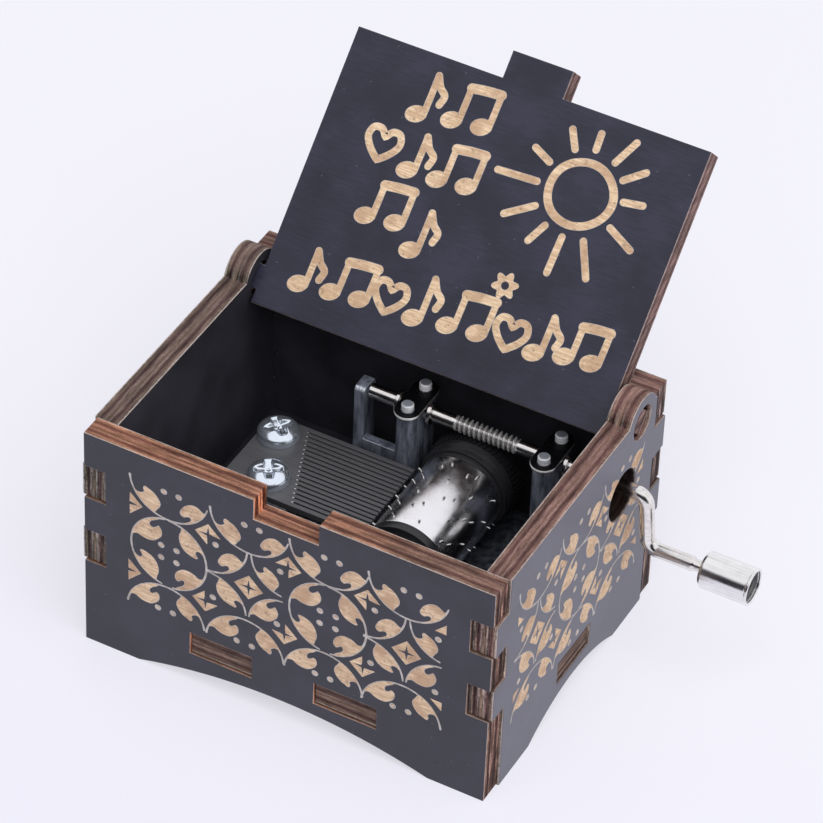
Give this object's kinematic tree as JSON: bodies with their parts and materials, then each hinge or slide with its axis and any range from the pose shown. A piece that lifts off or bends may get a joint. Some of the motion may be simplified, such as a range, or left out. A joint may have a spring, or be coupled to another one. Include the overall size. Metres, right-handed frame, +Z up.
{
  "type": "hand cranked music box",
  "caption": "Small hinged-lid plywood box on arched feet, holding a pinned drum and steel comb movement turned by a bright crank with a free knob.",
  "frame": {"origin": "lower left front corner of the front panel, on the table plane under its left foot", "axes": "+X along the front to the right, towards the crank; +Y from the front to the back; +Z up"},
  "size_m": [0.0853, 0.0746, 0.0685],
  "materials": {
    "black_plywood": "painted matt black faces, scorched brown laser-cut edges",
    "cast_frame": "plain zinc casting, dull",
    "black_steel": "blackened, satin",
    "comb_steel": "hardened steel, dull",
    "plated_screw": "bluish zinc plate",
    "lead": "dull",
    "nickel": "bright nickel plate",
    "pin_steel": "plain",
    "black_plastic": "moulded, satin"
  },
  "bodies": {
    "box": {"front_panel": "black_plywood", "back_panel": "black_plywood", "left_side_panel": "black_plywood", "right_side_panel": "black_plywood", "base_panel": "black_plywood", "movement_frame": "cast_frame", "left_bearing_strap": "black_steel", "right_bearing_strap": "black_steel", "comb": "comb_steel", "comb_screws": "plated_screw", "tuning_weights": "lead", "mounting_screws": "plated_screw"},
    "lid_board": {"lid": "black_plywood"},
    "crank": {"crank_shaft": "nickel", "shaft_collars": "nickel"},
    "knob": {"crank_knob": "nickel"},
    "drum": {"drum_shell": "nickel", "drum_pins": "pin_steel", "drum_front_cap": "black_plastic", "drum_rear_flange": "black_plastic", "worm_wheel": "black_plastic", "drum_arbor": "pin_steel"}
  },
  "joints": [
    {"name": "lid_hinge", "type": "hinge", "parent": "box", "child": "lid_board", "pos_m": [0.032, 0.043, 0.0373], "axis": [1, 0, 0], "range_deg": [0, 135.4]},
    {"name": "crank_spin", "type": "hinge", "parent": "box", "child": "crank", "pos_m": [0.0636, 0.0395, 0.0277], "axis": [1, 0, 0], "continuous": true},
    {"name": "drum_spin", "type": "hinge", "parent": "box", "child": "drum", "pos_m": [0.04085, 0.0269, 0.01967], "axis": [0, 1, 0], "continuous": true},
    {"name": "knob_spin", "type": "hinge", "parent": "crank", "child": "knob", "pos_m": [0.0785, 0.0395, 0.01855], "axis": [1, 0, 0], "continuous": true}
  ],
  "couplings": [
    {"joint": "drum_spin", "follows": "crank_spin", "ratio": -0.017857}
  ]
}
